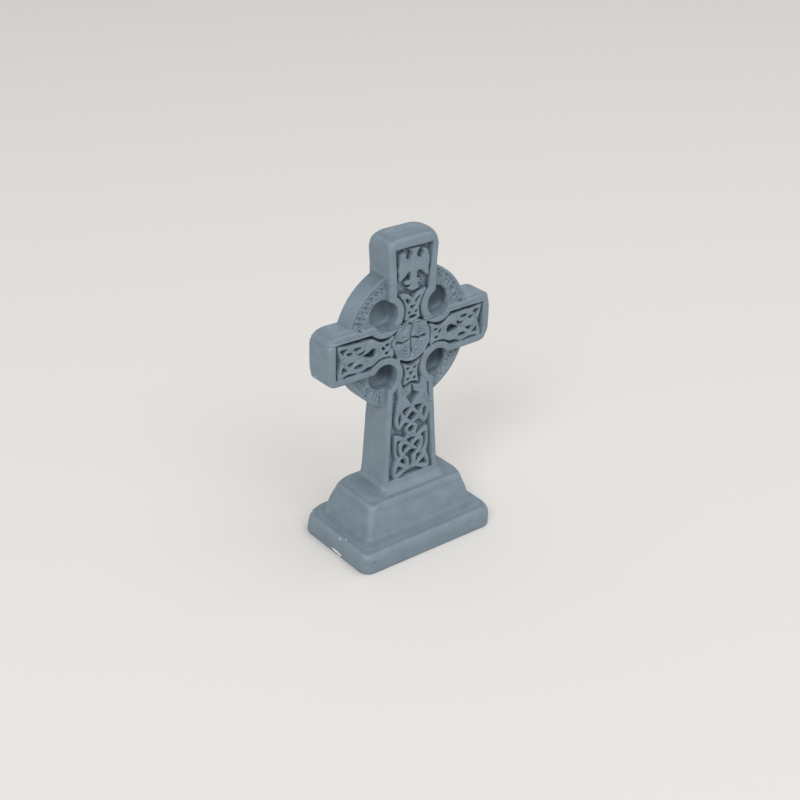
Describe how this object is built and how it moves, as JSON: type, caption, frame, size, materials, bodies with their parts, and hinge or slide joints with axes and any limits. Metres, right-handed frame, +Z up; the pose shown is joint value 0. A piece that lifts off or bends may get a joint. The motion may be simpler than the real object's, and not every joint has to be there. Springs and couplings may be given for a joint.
{
  "type": "miniature celtic cross gravestone",
  "caption": "Small grey resin celtic cross gravestone: ringed cross with knotwork panels and a bird figure, tapering shaft, two-step plinth.",
  "frame": {"origin": "middle of the plinth's underside, on the surface it stands on", "axes": "+Z up, the carved front faces -Y, +X to the viewer's right"},
  "size_m": [0.0362, 0.0208, 0.061],
  "materials": {
    "grey_resin": "blue-grey printing resin, satin to matte, with fine level layer lines"
  },
  "bodies": {
    "root": {"celtic_cross": "grey_resin"}
  },
  "joints": []
}
